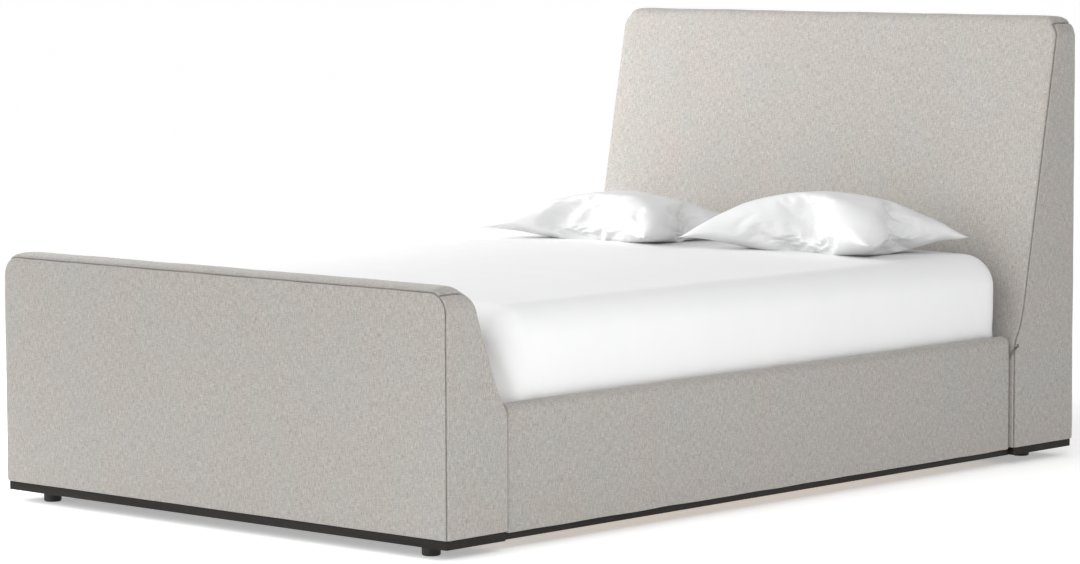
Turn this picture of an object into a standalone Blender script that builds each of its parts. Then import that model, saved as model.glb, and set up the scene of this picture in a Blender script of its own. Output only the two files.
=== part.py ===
"""Queen-size upholstered sleigh bed with its timber frame, slats, mattress and pillows.

Metres, +Z up. X runs across the bed, +Y towards the headboard, and the origin is on the floor
under the middle of the bed. Inside the functions that make the two end panels, a point is given
as (depth, height), where depth is measured from the panel's upright outer face towards the
mattress, so that one set of functions makes both the footboard and the headboard.
"""

import math

import bmesh
import bpy
from mathutils import Vector

GAP = 0.0003  # clearance between pieces that touch

# Whole bed
BED_WIDTH = 1.630
BED_LENGTH = 2.592
HALF = BED_WIDTH / 2
FRONT_Y = -BED_LENGTH / 2
BACK_Y = BED_LENGTH / 2
PLINTH_BOTTOM = 0.028
PLINTH_INSET = 0.008

# End panels: a padded cover round a plywood box
COVER = 0.018
PLY = 0.015
CORNER_RADIUS = 0.055  # the top corners, seen from the foot of the bed
RIB_X = 0.600
RIB_THICKNESS = 0.018
FRAME_SIDE_SPACE = 0.008  # padding room between the plywood box and the covers
FRAME_TOP_SPACE = 0.012
FRAME_BOTTOM_STEP = 0.002  # the plywood starts this far above the covers' hems
LOWER_BOARD_DROP = 0.010  # below the end of the flare
LEANING_BOARD_RISE = 0.020  # above the end of the flare
HEAD_DROP = 0.55  # share of the shoulder that the leaning board stops short of the top
CUTTER_MARGIN = 0.010
FOOTBOARD = {
    "depth": 0.2235,
    "bottom": 0.051,
    "top": 0.655,
    "face_depth": 0.1411,  # depth of the leaning face at face_height
    "face_height": 0.530,
    "lean": 0.372,  # gain in depth per metre down the leaning face
    "shoulder": 0.060,
    "flare_top": 0.405,
    "flare_middle": 0.372,
    "flare_end": 0.350,
}
HEADBOARD = {
    "depth": 0.2885,
    "bottom": 0.049,
    "top": 1.250,
    "face_depth": 0.2098,
    "face_height": 0.6226,
    "lean": 0.195,
    "shoulder": 0.024,
    "flare_top": 0.455,
    "flare_middle": 0.375,
    "flare_end": 0.348,
}

# Side rails
RAIL_OUTSIDE = 0.802
RAIL_THICKNESS = 0.038
RAIL_BOTTOM = 0.0445
RAIL_TOP = 0.363
RAIL_BOARD = 0.018
RAIL_PADDING = 0.0175
RAIL_ROUNDING = 0.016
RAIL_INNER_ROUNDING = 0.008
RAIL_FOLD_BOTTOM = 0.310  # the cover is stapled inside the board down to here
RAIL_INSIDE = RAIL_OUTSIDE - RAIL_THICKNESS
RAIL_FRONT_Y = FRONT_Y + FOOTBOARD["depth"] + GAP
RAIL_BACK_Y = BACK_Y - HEADBOARD["depth"] - GAP
RAIL_PLINTH_WIDTH = 0.030

# Slatted base
SLAT_TOP = 0.2847
SLAT_THICKNESS = 0.018
SLAT_WIDTH = 0.115
SLAT_COUNT = 11
SLAT_HALF = 0.760
SLAT_MARGIN = 0.066  # from the end of the rail to the first slat
CLEAT_WIDTH = 0.026
CLEAT_HEIGHT = 0.030
CLEAT_END_SPACE = 0.004  # between a cleat and the corner bracket
BEAM_WIDTH = 0.032
BEAM_HEIGHT = 0.070
LEG_SIDE = 0.040
LEG_BOTTOM = 0.030
LEG_Y = (-0.400, 0.400)
GLIDE_RADIUS = 0.016
GLIDE_PAD = 0.010
GLIDE_TRAVEL = 0.012
GLIDE_EDGE = 0.002
GLIDE_COLLAR = 0.004
BORE_SPARE = 0.004  # depth left above the stem when the glide is screwed right in
STEM_RADIUS = 0.004
STEM_TOP = 0.055

# Corner fittings
BRACKET_LEG = 0.050
BRACKET_STEEL = 0.003
BRACKET_BOTTOM = 0.110
BRACKET_TOP = 0.220
BOLT_RADIUS = 0.004
BOLT_HEAD_RADIUS = 0.0075
BOLT_HEAD = 0.006
BOLT_CLEARANCE = 0.0005
BOLT_AT = 0.6  # share of the bracket's leg from the corner to the bolt
BOLT_TIP = 0.002  # the bolt stops this far short of the plywood's far face

# Feet
FOOT_RADIUS = 0.0235
FOOT_EDGE = 0.003
FOOT_X = 0.700
FOOT_INSET_FRONT = 0.065
FOOT_INSET_BACK = 0.098

# Bedding
MATTRESS_WIDTH = 1.520
MATTRESS_LENGTH = 2.032
MATTRESS_BOTTOM = SLAT_TOP + GAP
MATTRESS_TOP = 0.590
MATTRESS_ROUNDING = 0.060
MATTRESS_SPACE = 0.004  # between the mattress and the headboard
MATTRESS_BACK_Y = RAIL_BACK_Y - MATTRESS_SPACE
SHEET = 0.0020
SHEET_EASE = 0.0010  # between the sheet and the mattress, so that rounded corners stay clear
SHEET_BOTTOM = 0.298
PILLOW_LENGTH = 0.690
PILLOW_DEPTH = 0.480
PILLOW_SEAM = 0.28  # height of the seam as a share of the pillow's height
PILLOW_PULL_X = 0.06  # how far the sides pull in between the corners
PILLOW_PULL_Y = 0.07
PILLOW_FLAT = 1.9  # the larger, the more of the underside lies flat
PILLOWS = {
    "pillow_left": {"x": -0.385, "y": 0.690, "height": 0.140},
    "pillow_right": {"x": 0.350, "y": 0.742, "height": 0.152},
}


def clearScene():
    for thing in list(bpy.data.objects):
        bpy.data.objects.remove(thing, do_unlink=True)


def makeMaterial(name, colour, roughness, metallic=0.0):
    material = bpy.data.materials.new(name)
    material.use_nodes = True
    shader = material.node_tree.nodes["Principled BSDF"]
    shader.inputs["Base Color"].default_value = (*colour, 1.0)
    shader.inputs["Roughness"].default_value = roughness
    shader.inputs["Metallic"].default_value = metallic
    return material


def addObject(name, shape, material):
    """Turn a bmesh into a named object with its faces pointing outwards."""
    bmesh.ops.recalc_face_normals(shape, faces=shape.faces)
    if shape.calc_volume(signed=True) < 0:
        bmesh.ops.reverse_faces(shape, faces=shape.faces)
    mesh = bpy.data.meshes.new(name)
    shape.to_mesh(mesh)
    shape.free()
    mesh.materials.append(material)
    piece = bpy.data.objects.new(name, mesh)
    bpy.context.scene.collection.objects.link(piece)
    return piece


def prism(name, outline, start, end, axis, material):
    """Extrude a flat outline from start to end along axis X, Y or Z."""

    def place(point, along):
        first, second = point
        if axis == "X":
            return (along, first, second)
        if axis == "Y":
            return (first, along, second)
        return (first, second, along)

    shape = bmesh.new()
    near = [shape.verts.new(place(point, start)) for point in outline]
    far = [shape.verts.new(place(point, end)) for point in outline]
    shape.faces.new(near)
    shape.faces.new(list(reversed(far)))
    for index in range(len(outline)):
        after = (index + 1) % len(outline)
        shape.faces.new((near[after], near[index], far[index], far[after]))
    return addObject(name, shape, material)


def box(name, xRange, yRange, zRange, material):
    (x0, x1), (z0, z1) = xRange, zRange
    outline = [(x0, z0), (x1, z0), (x1, z1), (x0, z1)]
    return prism(name, outline, yRange[0], yRange[1], "Y", material)


def turned(name, profile, centre, axis, material, segments=24):
    """Spin a profile of (radius, distance along axis) round an axis through centre."""
    shape = bmesh.new()
    rings = []
    for radius, along in profile:
        ring = []
        for step in range(segments):
            angle = math.tau * step / segments
            side, up = radius * math.cos(angle), radius * math.sin(angle)
            offset = (side, up, along) if axis == "Z" else (side, along, up)
            ring.append(shape.verts.new(Vector(centre) + Vector(offset)))
        rings.append(ring)
    shape.faces.new(rings[0])
    shape.faces.new(rings[-1])
    for lower, upper in zip(rings, rings[1:]):
        for step in range(segments):
            after = (step + 1) % segments
            shape.faces.new((lower[step], lower[after], upper[after], upper[step]))
    piece = addObject(name, shape, material)
    piece.data.shade_smooth()
    piece.data.set_sharp_from_angle(angle=math.radians(35))
    return piece


def arc(centre, radius, start, end, steps):
    points = []
    for step in range(steps + 1):
        angle = math.radians(start + (end - start) * step / steps)
        points.append((centre[0] + radius * math.cos(angle), centre[1] + radius * math.sin(angle)))
    return points


def curve(start, control, end, steps):
    """Points along a quadratic curve, without its first point."""
    points = []
    for step in range(1, steps + 1):
        t = step / steps
        weights = ((1 - t) ** 2, 2 * t * (1 - t), t * t)
        points.append(tuple(
            weights[0] * a + weights[1] * b + weights[2] * c
            for a, b, c in zip(start, control, end)
        ))
    return points


def inset(points, distance):
    """Shift an open line of points to its right-hand side, mitred at each point."""
    shifted = []
    for index, point in enumerate(points):
        before = Vector(point) - Vector(points[index - 1]) if index else None
        after = Vector(points[index + 1]) - Vector(point) if index < len(points) - 1 else None
        directions = [d.normalized() for d in (before, after) if d is not None]
        normals = [Vector((d.y, -d.x)) for d in directions]
        mitre = (normals[0] + normals[-1]).normalized()
        reach = distance / mitre.dot(normals[0])
        shifted.append(tuple(Vector(point) + mitre * reach))
    return shifted


def cut(target, cutter, operation="DIFFERENCE"):
    cutter.hide_render = True
    cutter.display_type = "WIRE"
    modifier = target.modifiers.new(operation.title(), "BOOLEAN")
    modifier.operation = operation
    modifier.object = cutter
    modifier.solver = "EXACT"


# --- End panels -------------------------------------------------------------------------------


def faceDepth(panel, height):
    """Depth of the leaning face at a height."""
    return panel["face_depth"] + (panel["face_height"] - height) * panel["lean"]


def innerLine(panel, start):
    """The cover's line from depth start across the top, over the shoulder and down to the hem."""
    turn = math.pi / 2 - math.atan(panel["lean"])
    reach = panel["shoulder"] * math.tan(turn / 2)
    centre = (faceDepth(panel, panel["top"]) - reach, panel["top"] - panel["shoulder"])
    flare = [(faceDepth(panel, panel[key]), panel[key]) for key in ("flare_top", "flare_middle")]
    line = [(start, panel["top"])]
    line += arc(centre, panel["shoulder"], 90, 90 - math.degrees(turn), 8)
    line.append(flare[0])
    line += curve(flare[0], flare[1], (panel["depth"], panel["flare_end"]), 6)
    line.append((panel["depth"], panel["bottom"]))
    return line


def makeEnd(panel, prefix, outward, materials):
    """Make one end panel. outward is -1 at the foot of the bed and +1 at its head."""
    outerY = FRONT_Y if outward < 0 else BACK_Y
    fabric, ply = materials["fabric"], materials["plywood"]

    def toWorld(outline):
        return [(outerY - outward * depth, height) for depth, height in outline]

    def across(depth):
        return outerY - outward * depth

    def roundCorners(piece, top):
        low = panel["bottom"] - CUTTER_MARGIN
        side = HALF - CORNER_RADIUS
        shoulder = top - CORNER_RADIUS
        outline = [(-HALF, low), (HALF, low)]
        outline += arc((side, shoulder), CORNER_RADIUS, 0, 90, 6)
        outline += arc((-side, shoulder), CORNER_RADIUS, 90, 180, 6)
        ends = sorted((across(-CUTTER_MARGIN), across(panel["depth"] + CUTTER_MARGIN)))
        cutter = prism(f"{piece.name}_corners", outline, *ends, "Y", fabric)
        cut(piece, cutter, "INTERSECT")

    sideInner = HALF - COVER
    line = innerLine(panel, COVER + GAP)

    face = box(
        f"{prefix}_outer_cover", (-HALF, HALF),
        (across(0), across(COVER)), (panel["bottom"], panel["top"]), fabric,
    )
    roundCorners(face, panel["top"])

    band = toWorld(line + list(reversed(inset(line, COVER))))
    inner = prism(f"{prefix}_inner_cover", band, GAP - sideInner, sideInner - GAP, "X", fabric)
    roundCorners(inner, panel["top"])

    sideOutline = toWorld(line + [(COVER + GAP, panel["bottom"])])
    for side, sign in (("left", -1), ("right", 1)):
        cover = prism(
            f"{prefix}_side_cover_{side}", sideOutline, sign * sideInner, sign * HALF, "X", fabric
        )
        roundCorners(cover, panel["top"])

    makeEndFrame(panel, prefix, toWorld, across, ply)
    return inner


def makeEndFrame(panel, prefix, toWorld, across, ply):
    """The plywood box inside an end panel: outer, lower and leaning boards on two ribs."""
    half = HALF - COVER - FRAME_SIDE_SPACE
    bottom = panel["bottom"] + FRAME_BOTTOM_STEP
    frameTop = panel["top"] - COVER - FRAME_TOP_SPACE
    backed = COVER + 2 * GAP
    slope = math.hypot(1, panel["lean"])

    def leaning(behind, height):
        return faceDepth(panel, height) - behind * slope

    box(
        f"{prefix}_outer_board", (-half, half),
        sorted((across(backed), across(backed + PLY))), (bottom, frameTop), ply,
    )
    lowerFace = panel["depth"] - backed
    lowerTop = panel["flare_end"] - LOWER_BOARD_DROP
    box(
        f"{prefix}_lower_board", (-half, half),
        sorted((across(lowerFace - PLY), across(lowerFace))), (bottom, lowerTop), ply,
    )
    foot = panel["flare_end"] + LEANING_BOARD_RISE
    head = frameTop - panel["shoulder"] * HEAD_DROP
    leaningOutline = [
        (leaning(backed, foot), foot), (leaning(backed, head), head),
        (leaning(backed + PLY, head), head), (leaning(backed + PLY, foot), foot),
    ]
    prism(f"{prefix}_leaning_board", toWorld(leaningOutline), -half, half, "X", ply)

    behind = backed + PLY + GAP
    lowerInside = lowerFace - PLY - GAP
    ribOutline = [
        (behind, bottom), (lowerInside, bottom), (lowerInside, lowerTop),
        (leaning(behind, foot), foot), (leaning(behind, head), head), (behind, head),
    ]
    for side, sign in (("left", -1), ("right", 1)):
        ends = sorted((sign * RIB_X, sign * (RIB_X + RIB_THICKNESS)))
        prism(f"{prefix}_rib_{side}", toWorld(ribOutline), *ends, "X", ply)


def makePlinthsAndFeet(materials):
    half = HALF - PLINTH_INSET
    ends = {
        "footboard": (FRONT_Y + PLINTH_INSET, FRONT_Y + FOOTBOARD["depth"] - PLINTH_INSET, FOOTBOARD),
        "headboard": (BACK_Y - HEADBOARD["depth"] + PLINTH_INSET, BACK_Y - PLINTH_INSET, HEADBOARD),
    }
    for name, (y0, y1, panel) in ends.items():
        heights = (PLINTH_BOTTOM, panel["bottom"] - GAP)
        box(f"{name}_plinth", (-half, half), (y0, y1), heights, materials["blackWood"])
    for side, sign in (("left", -1), ("right", 1)):
        outer = RAIL_OUTSIDE - PLINTH_INSET
        xs = sorted((sign * (outer - RAIL_PLINTH_WIDTH), sign * outer))
        ys = (RAIL_FRONT_Y, RAIL_BACK_Y)
        heights = (PLINTH_BOTTOM, RAIL_BOTTOM - GAP)
        box(f"rail_plinth_{side}", xs, ys, heights, materials["blackWood"])
        for place, y in (("front", FRONT_Y + FOOT_INSET_FRONT), ("back", BACK_Y - FOOT_INSET_BACK)):
            profile = [
                (FOOT_RADIUS - FOOT_EDGE, 0.0), (FOOT_RADIUS, FOOT_EDGE),
                (FOOT_RADIUS, PLINTH_BOTTOM - GAP),
            ]
            name = f"foot_{place}_{side}"
            turned(name, profile, (sign * FOOT_X, y, 0.0), "Z", materials["blackPlastic"])


# --- Side rails -------------------------------------------------------------------------------


def makeRail(side, sign, materials):
    outside, inside = RAIL_OUTSIDE, RAIL_INSIDE
    boardOutside = outside - RAIL_PADDING
    boardInside = boardOutside - RAIL_BOARD
    boardTop = RAIL_TOP - RAIL_PADDING
    rounding = RAIL_ROUNDING
    outline = [(outside, RAIL_BOTTOM)]
    outline += arc((outside - rounding, RAIL_TOP - rounding), rounding, 0, 90, 5)
    small = RAIL_INNER_ROUNDING
    outline += arc((inside + small, RAIL_TOP - small), small, 90, 180, 3)
    outline += [
        (inside, RAIL_FOLD_BOTTOM), (boardInside - GAP, RAIL_FOLD_BOTTOM),
        (boardInside - GAP, boardTop + GAP), (boardOutside + GAP, boardTop + GAP),
        (boardOutside + GAP, RAIL_BOTTOM),
    ]
    outline = [(sign * x, z) for x, z in outline]
    ends = (RAIL_FRONT_Y, RAIL_BACK_Y)
    prism(f"rail_cover_{side}", outline, *ends, "Y", materials["fabric"])
    boardXs = sorted((sign * boardInside, sign * boardOutside))
    box(f"rail_board_{side}", boardXs, ends, (RAIL_BOTTOM, boardTop), materials["plywood"])

    cleatXs = sorted((sign * (boardInside - GAP), sign * (boardInside - GAP - CLEAT_WIDTH)))
    spare = BRACKET_LEG + CLEAT_END_SPACE
    cleatYs = (RAIL_FRONT_Y + spare, RAIL_BACK_Y - spare)
    cleatTop = SLAT_TOP - SLAT_THICKNESS - GAP
    box(f"cleat_{side}", cleatXs, cleatYs, (cleatTop - CLEAT_HEIGHT, cleatTop), materials["pine"])
    return boardInside - GAP


def makeCornerFitting(name, corner, sign, outward, drilled, materials):
    """An angle bracket in the corner of rail and end panel, and the bolt through it."""
    x, y = corner
    inward = -outward
    outline = [
        (x, y), (x - sign * BRACKET_LEG, y),
        (x - sign * BRACKET_LEG, y + inward * BRACKET_STEEL),
        (x - sign * BRACKET_STEEL, y + inward * BRACKET_STEEL),
        (x - sign * BRACKET_STEEL, y + inward * BRACKET_LEG),
        (x, y + inward * BRACKET_LEG),
    ]
    bracket = prism(
        f"{name}_bracket", outline, BRACKET_BOTTOM, BRACKET_TOP, "Z", materials["steel"]
    )
    axis = (x - sign * BOLT_AT * BRACKET_LEG, y, (BRACKET_BOTTOM + BRACKET_TOP) / 2)
    head = inward * (BRACKET_STEEL + GAP)
    length = outward * (COVER + PLY - BOLT_TIP)
    profile = [
        (BOLT_HEAD_RADIUS, head + inward * BOLT_HEAD), (BOLT_HEAD_RADIUS, head),
        (BOLT_RADIUS, head), (BOLT_RADIUS, length),
    ]
    turned(f"{name}_bolt", profile, axis, "Y", materials["steel"], 16)
    hole = BOLT_RADIUS + BOLT_CLEARANCE
    reach = COVER + PLY + CUTTER_MARGIN
    drill = turned(
        f"{name}_drill", [(hole, inward * reach), (hole, outward * reach)],
        axis, "Y", materials["steel"], 16,
    )
    for piece in [bracket, *drilled]:
        cut(piece, drill)


# --- Slatted base -----------------------------------------------------------------------------


def makeSlats(materials):
    first = RAIL_FRONT_Y + SLAT_MARGIN
    last = RAIL_BACK_Y - SLAT_MARGIN - SLAT_WIDTH
    heights = (SLAT_TOP - SLAT_THICKNESS, SLAT_TOP)
    for index in range(SLAT_COUNT):
        y = first + (last - first) * index / (SLAT_COUNT - 1)
        box(
            f"slat_{index + 1:02d}", (-SLAT_HALF, SLAT_HALF), (y, y + SLAT_WIDTH),
            heights, materials["pine"],
        )


def makeCentreSupport(materials):
    top = SLAT_TOP - SLAT_THICKNESS - GAP
    bottom = top - BEAM_HEIGHT
    half = BEAM_WIDTH / 2
    ends = (RAIL_FRONT_Y + GAP, RAIL_BACK_Y - GAP)
    box("centre_beam", (-half, half), ends, (bottom, top), materials["pine"])
    for place, y in zip(("front", "back"), LEG_Y):
        side = LEG_SIDE / 2
        leg = box(
            f"centre_leg_{place}", (-side, side), (y - side, y + side),
            (LEG_BOTTOM, bottom - GAP), materials["pine"],
        )
        bore = STEM_RADIUS + BOLT_CLEARANCE
        boreTop = STEM_TOP + GLIDE_TRAVEL + BORE_SPARE
        drill = turned(
            f"centre_leg_{place}_bore", [(bore, LEG_BOTTOM - CUTTER_MARGIN), (bore, boreTop)],
            (0.0, y, 0.0), "Z", materials["steel"], 16,
        )
        cut(leg, drill)
        profile = [
            (GLIDE_RADIUS - GLIDE_EDGE, 0.0), (GLIDE_RADIUS, GLIDE_EDGE),
            (GLIDE_RADIUS, GLIDE_PAD), (STEM_RADIUS, GLIDE_PAD + GLIDE_COLLAR),
            (STEM_RADIUS, STEM_TOP),
        ]
        turned(
            f"levelling_glide_{place}", profile, (0.0, y, 0.0), "Z",
            materials["blackPlastic"], 16,
        )


# --- Bedding ----------------------------------------------------------------------------------


def roundedBlock(name, xRange, yRange, zRange, rounding, material):
    block = box(name, xRange, yRange, zRange, material)
    bevel = block.modifiers.new("Rounding", "BEVEL")
    bevel.width = rounding
    bevel.segments = 4
    bevel.limit_method = "ANGLE"
    return block


def makeMattress(materials):
    half = MATTRESS_WIDTH / 2
    y0, y1 = MATTRESS_BACK_Y - MATTRESS_LENGTH, MATTRESS_BACK_Y
    heights = (MATTRESS_BOTTOM, MATTRESS_TOP)
    roundedBlock(
        "mattress", (-half, half), (y0, y1), heights, MATTRESS_ROUNDING, materials["ticking"]
    )

    def around(name, spare, low):
        return roundedBlock(
            name, (-half - spare, half + spare), (y0 - spare, y1 + spare),
            (low, MATTRESS_TOP + spare), MATTRESS_ROUNDING + spare, materials["sheet"],
        )

    outer = around("fitted_sheet", SHEET_EASE + SHEET, 2 * PLINTH_BOTTOM)
    inner = around("sheet_inside", SHEET_EASE, PLINTH_BOTTOM)
    cut(outer, inner)
    trim = box(
        "sheet_trim", (-BED_WIDTH, BED_WIDTH), (-BED_LENGTH, BED_LENGTH), (0.0, SHEET_BOTTOM),
        materials["sheet"],
    )
    cut(outer, trim)


def makePillow(name, pillow, materials):
    """A cushion with pointed corners, flat where it lies on the sheet."""
    columns, rows = 16, 12
    bottom = MATTRESS_TOP + SHEET_EASE + SHEET + GAP
    seam = PILLOW_SEAM * pillow["height"]
    shape = bmesh.new()

    def place(u, v, upper):
        swell = (max(0.0, 1 - u**4) * max(0.0, 1 - v**4)) ** 0.5
        x = pillow["x"] + PILLOW_LENGTH / 2 * u * (1 - PILLOW_PULL_X * (1 - v * v) * abs(u))
        y = pillow["y"] + PILLOW_DEPTH / 2 * v * (1 - PILLOW_PULL_Y * (1 - u * u) * abs(v))
        rise = (pillow["height"] - seam) * swell if upper else -seam * min(1.0, PILLOW_FLAT * swell)
        return (x, y, bottom + seam + rise)

    layers = []
    for upper in (True, False):
        grid = {}
        for column in range(columns + 1):
            for row in range(rows + 1):
                onRim = column in (0, columns) or row in (0, rows)
                if onRim and not upper:
                    grid[column, row] = layers[0][column, row]
                    continue
                u, v = 2 * column / columns - 1, 2 * row / rows - 1
                grid[column, row] = shape.verts.new(place(u, v, upper))
        layers.append(grid)
    for grid in layers:
        for column in range(columns):
            for row in range(rows):
                shape.faces.new((
                    grid[column, row], grid[column + 1, row],
                    grid[column + 1, row + 1], grid[column, row + 1],
                ))
    piece = addObject(name, shape, materials["pillowcase"])
    piece.data.shade_smooth()


def main():
    clearScene()
    materials = {
        "fabric": makeMaterial("upholstery_fabric", (0.47, 0.445, 0.415), 0.95),
        "plywood": makeMaterial("plywood", (0.55, 0.40, 0.24), 0.70),
        "pine": makeMaterial("pine", (0.62, 0.46, 0.27), 0.65),
        "blackWood": makeMaterial("black_painted_wood", (0.026, 0.022, 0.018), 0.55),
        "blackPlastic": makeMaterial("black_plastic", (0.010, 0.010, 0.010), 0.45),
        "steel": makeMaterial("zinc_plated_steel", (0.55, 0.55, 0.53), 0.35, 1.0),
        "ticking": makeMaterial("mattress_ticking", (0.72, 0.71, 0.69), 0.90),
        "sheet": makeMaterial("white_sheet", (0.86, 0.86, 0.86), 0.85),
        "pillowcase": makeMaterial("white_pillowcase", (0.88, 0.88, 0.88), 0.85),
    }
    innerCovers = {
        -1: makeEnd(FOOTBOARD, "footboard", -1, materials),
        1: makeEnd(HEADBOARD, "headboard", 1, materials),
    }
    makePlinthsAndFeet(materials)
    makeSlats(materials)
    makeCentreSupport(materials)
    lowerBoards = {
        -1: bpy.data.objects["footboard_lower_board"],
        1: bpy.data.objects["headboard_lower_board"],
    }
    for side, sign in (("left", -1), ("right", 1)):
        boardInside = makeRail(side, sign, materials)
        for place, outward in (("front", -1), ("back", 1)):
            y = RAIL_FRONT_Y if outward < 0 else RAIL_BACK_Y
            drilled = (innerCovers[outward], lowerBoards[outward])
            name = f"corner_{place}_{side}"
            makeCornerFitting(name, (sign * boardInside, y), sign, outward, drilled, materials)
    makeMattress(materials)
    for name, pillow in PILLOWS.items():
        makePillow(name, pillow, materials)


main()
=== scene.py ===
import math

import bmesh
import bpy
import numpy as np
from mathutils import Matrix, Vector, kdtree


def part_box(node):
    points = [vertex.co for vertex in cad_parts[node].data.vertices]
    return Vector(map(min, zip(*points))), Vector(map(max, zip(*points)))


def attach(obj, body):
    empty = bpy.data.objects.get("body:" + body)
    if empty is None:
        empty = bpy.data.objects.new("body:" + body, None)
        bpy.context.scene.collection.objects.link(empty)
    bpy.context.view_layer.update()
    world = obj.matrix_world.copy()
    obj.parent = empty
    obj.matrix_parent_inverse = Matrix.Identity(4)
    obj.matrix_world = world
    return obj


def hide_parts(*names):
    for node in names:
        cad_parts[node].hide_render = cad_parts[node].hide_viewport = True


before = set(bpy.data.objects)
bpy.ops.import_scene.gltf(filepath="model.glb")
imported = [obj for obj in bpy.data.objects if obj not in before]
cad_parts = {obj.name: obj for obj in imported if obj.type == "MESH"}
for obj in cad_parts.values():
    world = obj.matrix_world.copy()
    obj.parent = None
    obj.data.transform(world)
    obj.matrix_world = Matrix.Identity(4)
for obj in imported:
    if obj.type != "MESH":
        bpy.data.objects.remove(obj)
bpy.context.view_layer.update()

print("frame loaded:", len(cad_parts), "nodes")


# ---- Shader maths ----

class Value:
    # a socket that arithmetic works on, each sum adding its Math node
    def __init__(self, shader, socket):
        self.shader, self.socket = shader, socket

    def math(self, operation, first, second):
        return self.shader.node("Math", {"operation": operation}, {0: first, 1: second})

    def __add__(self, other):
        return self.math("ADD", self, other)

    def __radd__(self, other):
        return self.math("ADD", other, self)

    def __sub__(self, other):
        return self.math("SUBTRACT", self, other)

    def __rsub__(self, other):
        return self.math("SUBTRACT", other, self)

    def __mul__(self, other):
        return self.math("MULTIPLY", self, other)

    def __rmul__(self, other):
        return self.math("MULTIPLY", other, self)


class Shader:
    def __init__(self, name):
        self.material = bpy.data.materials.new(name)
        self.material.use_nodes = True
        self.tree = self.material.node_tree
        self.tree.nodes.clear()

    def node(self, kind, settings=None, values=None, output=0):
        made = self.tree.nodes.new("ShaderNode" + kind)
        for key, value in (settings or {}).items():
            setattr(made, key, value)
        for key, value in (values or {}).items():
            if isinstance(value, Value):
                self.tree.links.new(value.socket, made.inputs[key])
            else:
                made.inputs[key].default_value = value
        return Value(self, made.outputs[output]) if made.outputs else None

    def between(self, value, low, high):
        # 0 below low, 1 above high, and smooth in between
        settings = {"interpolation_type": "SMOOTHSTEP"}
        return self.node("MapRange", settings, {"Value": value, "From Min": low, "From Max": high})

    def mix(self, first, second, factor, blend="MIX"):
        values = {"Factor": factor, 6: first, 7: second}
        settings = {"data_type": "RGBA", "blend_type": blend}
        return self.node("Mix", settings, values, output=2)

    def noise(self, where, scale, detail=2.0, roughness=0.5, dimensions="3D"):
        values = {"Vector": where, "Scale": scale, "Detail": detail, "Roughness": roughness}
        return self.node("TexNoise", {"noise_dimensions": dimensions}, values)

    def moved(self, where, location=(0, 0, 0), scale=(1, 1, 1), rotation=(0, 0, 0)):
        values = {"Vector": where, "Location": location, "Scale": scale, "Rotation": rotation}
        return self.node("Mapping", {}, values)

    def place(self):
        return self.node("TexCoord", {}, {}, output=3)

    def bump(self, height, strength, distance):
        values = {"Height": height, "Strength": strength, "Distance": distance}
        return self.node("Bump", {}, values)

    def finish(self, values):
        surface = self.node("BsdfPrincipled", {}, values)
        self.node("OutputMaterial", {}, {"Surface": surface})
        return self.material


def grey(level):
    return (level, level, level, 1.0)


# ---- Materials ----

linenLook = {
    "base": (0.385, 0.364, 0.338, 1.0), "light": (0.56, 0.545, 0.52, 1.0), "dark": (0.19, 0.18, 0.17, 1.0),
    "cool": (0.371, 0.369, 0.357, 1.0), "warm": (0.402, 0.360, 0.332, 1.0),
    "paintedSeamShadow": (0.085, 0.075, 0.066, 1.0), "slubWidth": 0.0032, "slubLength": 0.030, "threadWidth": 0.0011,
}


def makeLinen(look):
    s = Shader("oatmealLinen")
    uv = s.node("UVMap", {"uv_map": "weave"})

    def streaks(across, along, shift, detail=1.5):
        where = s.moved(uv, location=(shift, 1.7 * shift, 0.0), scale=(1 / across, 1 / along, 1.0))
        return s.noise(where, 1.0, detail, 0.55, "2D")

    width, length, thread = look["slubWidth"], look["slubLength"], look["threadWidth"]
    warp = streaks(width, length, 3.1)
    weft = streaks(length, width, 8.4)
    fineWarp = streaks(0.45 * width, 0.4 * length, 15.2)
    lightFleck = s.between(fineWarp, 0.62, 0.74)
    darkFleck = s.between(1 - fineWarp, 0.62, 0.76)
    patches = streaks(0.16, 0.22, 22.7, 3.0)
    tint = s.mix(look["base"], look["warm"], s.between(patches, 0.48, 0.70) * 0.45)
    tint = s.mix(tint, look["cool"], s.between(1 - patches, 0.48, 0.70) * 0.45)
    colour = s.mix(tint, look["light"], s.between(warp, 0.50, 0.76) * 0.24)
    colour = s.mix(colour, look["dark"], s.between(1 - warp, 0.50, 0.76) * 0.20)
    colour = s.mix(colour, look["light"], s.between(weft, 0.56, 0.76) * 0.16)
    colour = s.mix(colour, look["dark"], s.between(1 - weft, 0.56, 0.76) * 0.14)
    colour = s.mix(colour, look["light"], lightFleck * 0.60)
    colour = s.mix(colour, look["dark"], darkFleck * 0.62)
    warpThreads = streaks(thread, 14 * thread, 31.0, 0.0)
    weftThreads = streaks(14 * thread, thread, 37.0, 0.0)
    threads = warpThreads + weftThreads
    colour = s.mix(colour, s.mix(grey(0.0), grey(1.0), threads * 0.5), 0.35, "OVERLAY")
    seam = s.node("Attribute", {"attribute_name": "seam"}, {}, 2)
    # painted shadow: the linen goes dark along each seam, where its groove would be shaded
    colour = s.mix(colour, look["paintedSeamShadow"], seam * 0.62)
    height = threads * 0.7 + warp * 0.5 + weft * 0.35 + lightFleck * 0.4
    roughness = 0.88 + 0.08 * warp
    return s.finish({
        "Base Color": colour, "Roughness": roughness, "Normal": s.bump(height, 0.55, 0.0012),
        "Sheen Weight": 0.50, "Sheen Roughness": 0.35, "Specular IOR Level": 0.18,
    })


cottonLook = {"white": (0.825, 0.826, 0.828, 1.0), "shade": (0.80, 0.802, 0.806, 1.0), "weave": 900.0}


# painted shade: the pillows' percale is the sheet's white made darker, because the pillows face the light
# more
pillowCottonShadedLook = {"white": (0.70, 0.701, 0.703, 1.0), "shade": (0.685, 0.687, 0.691, 1.0), "weave": 900.0}


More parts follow.
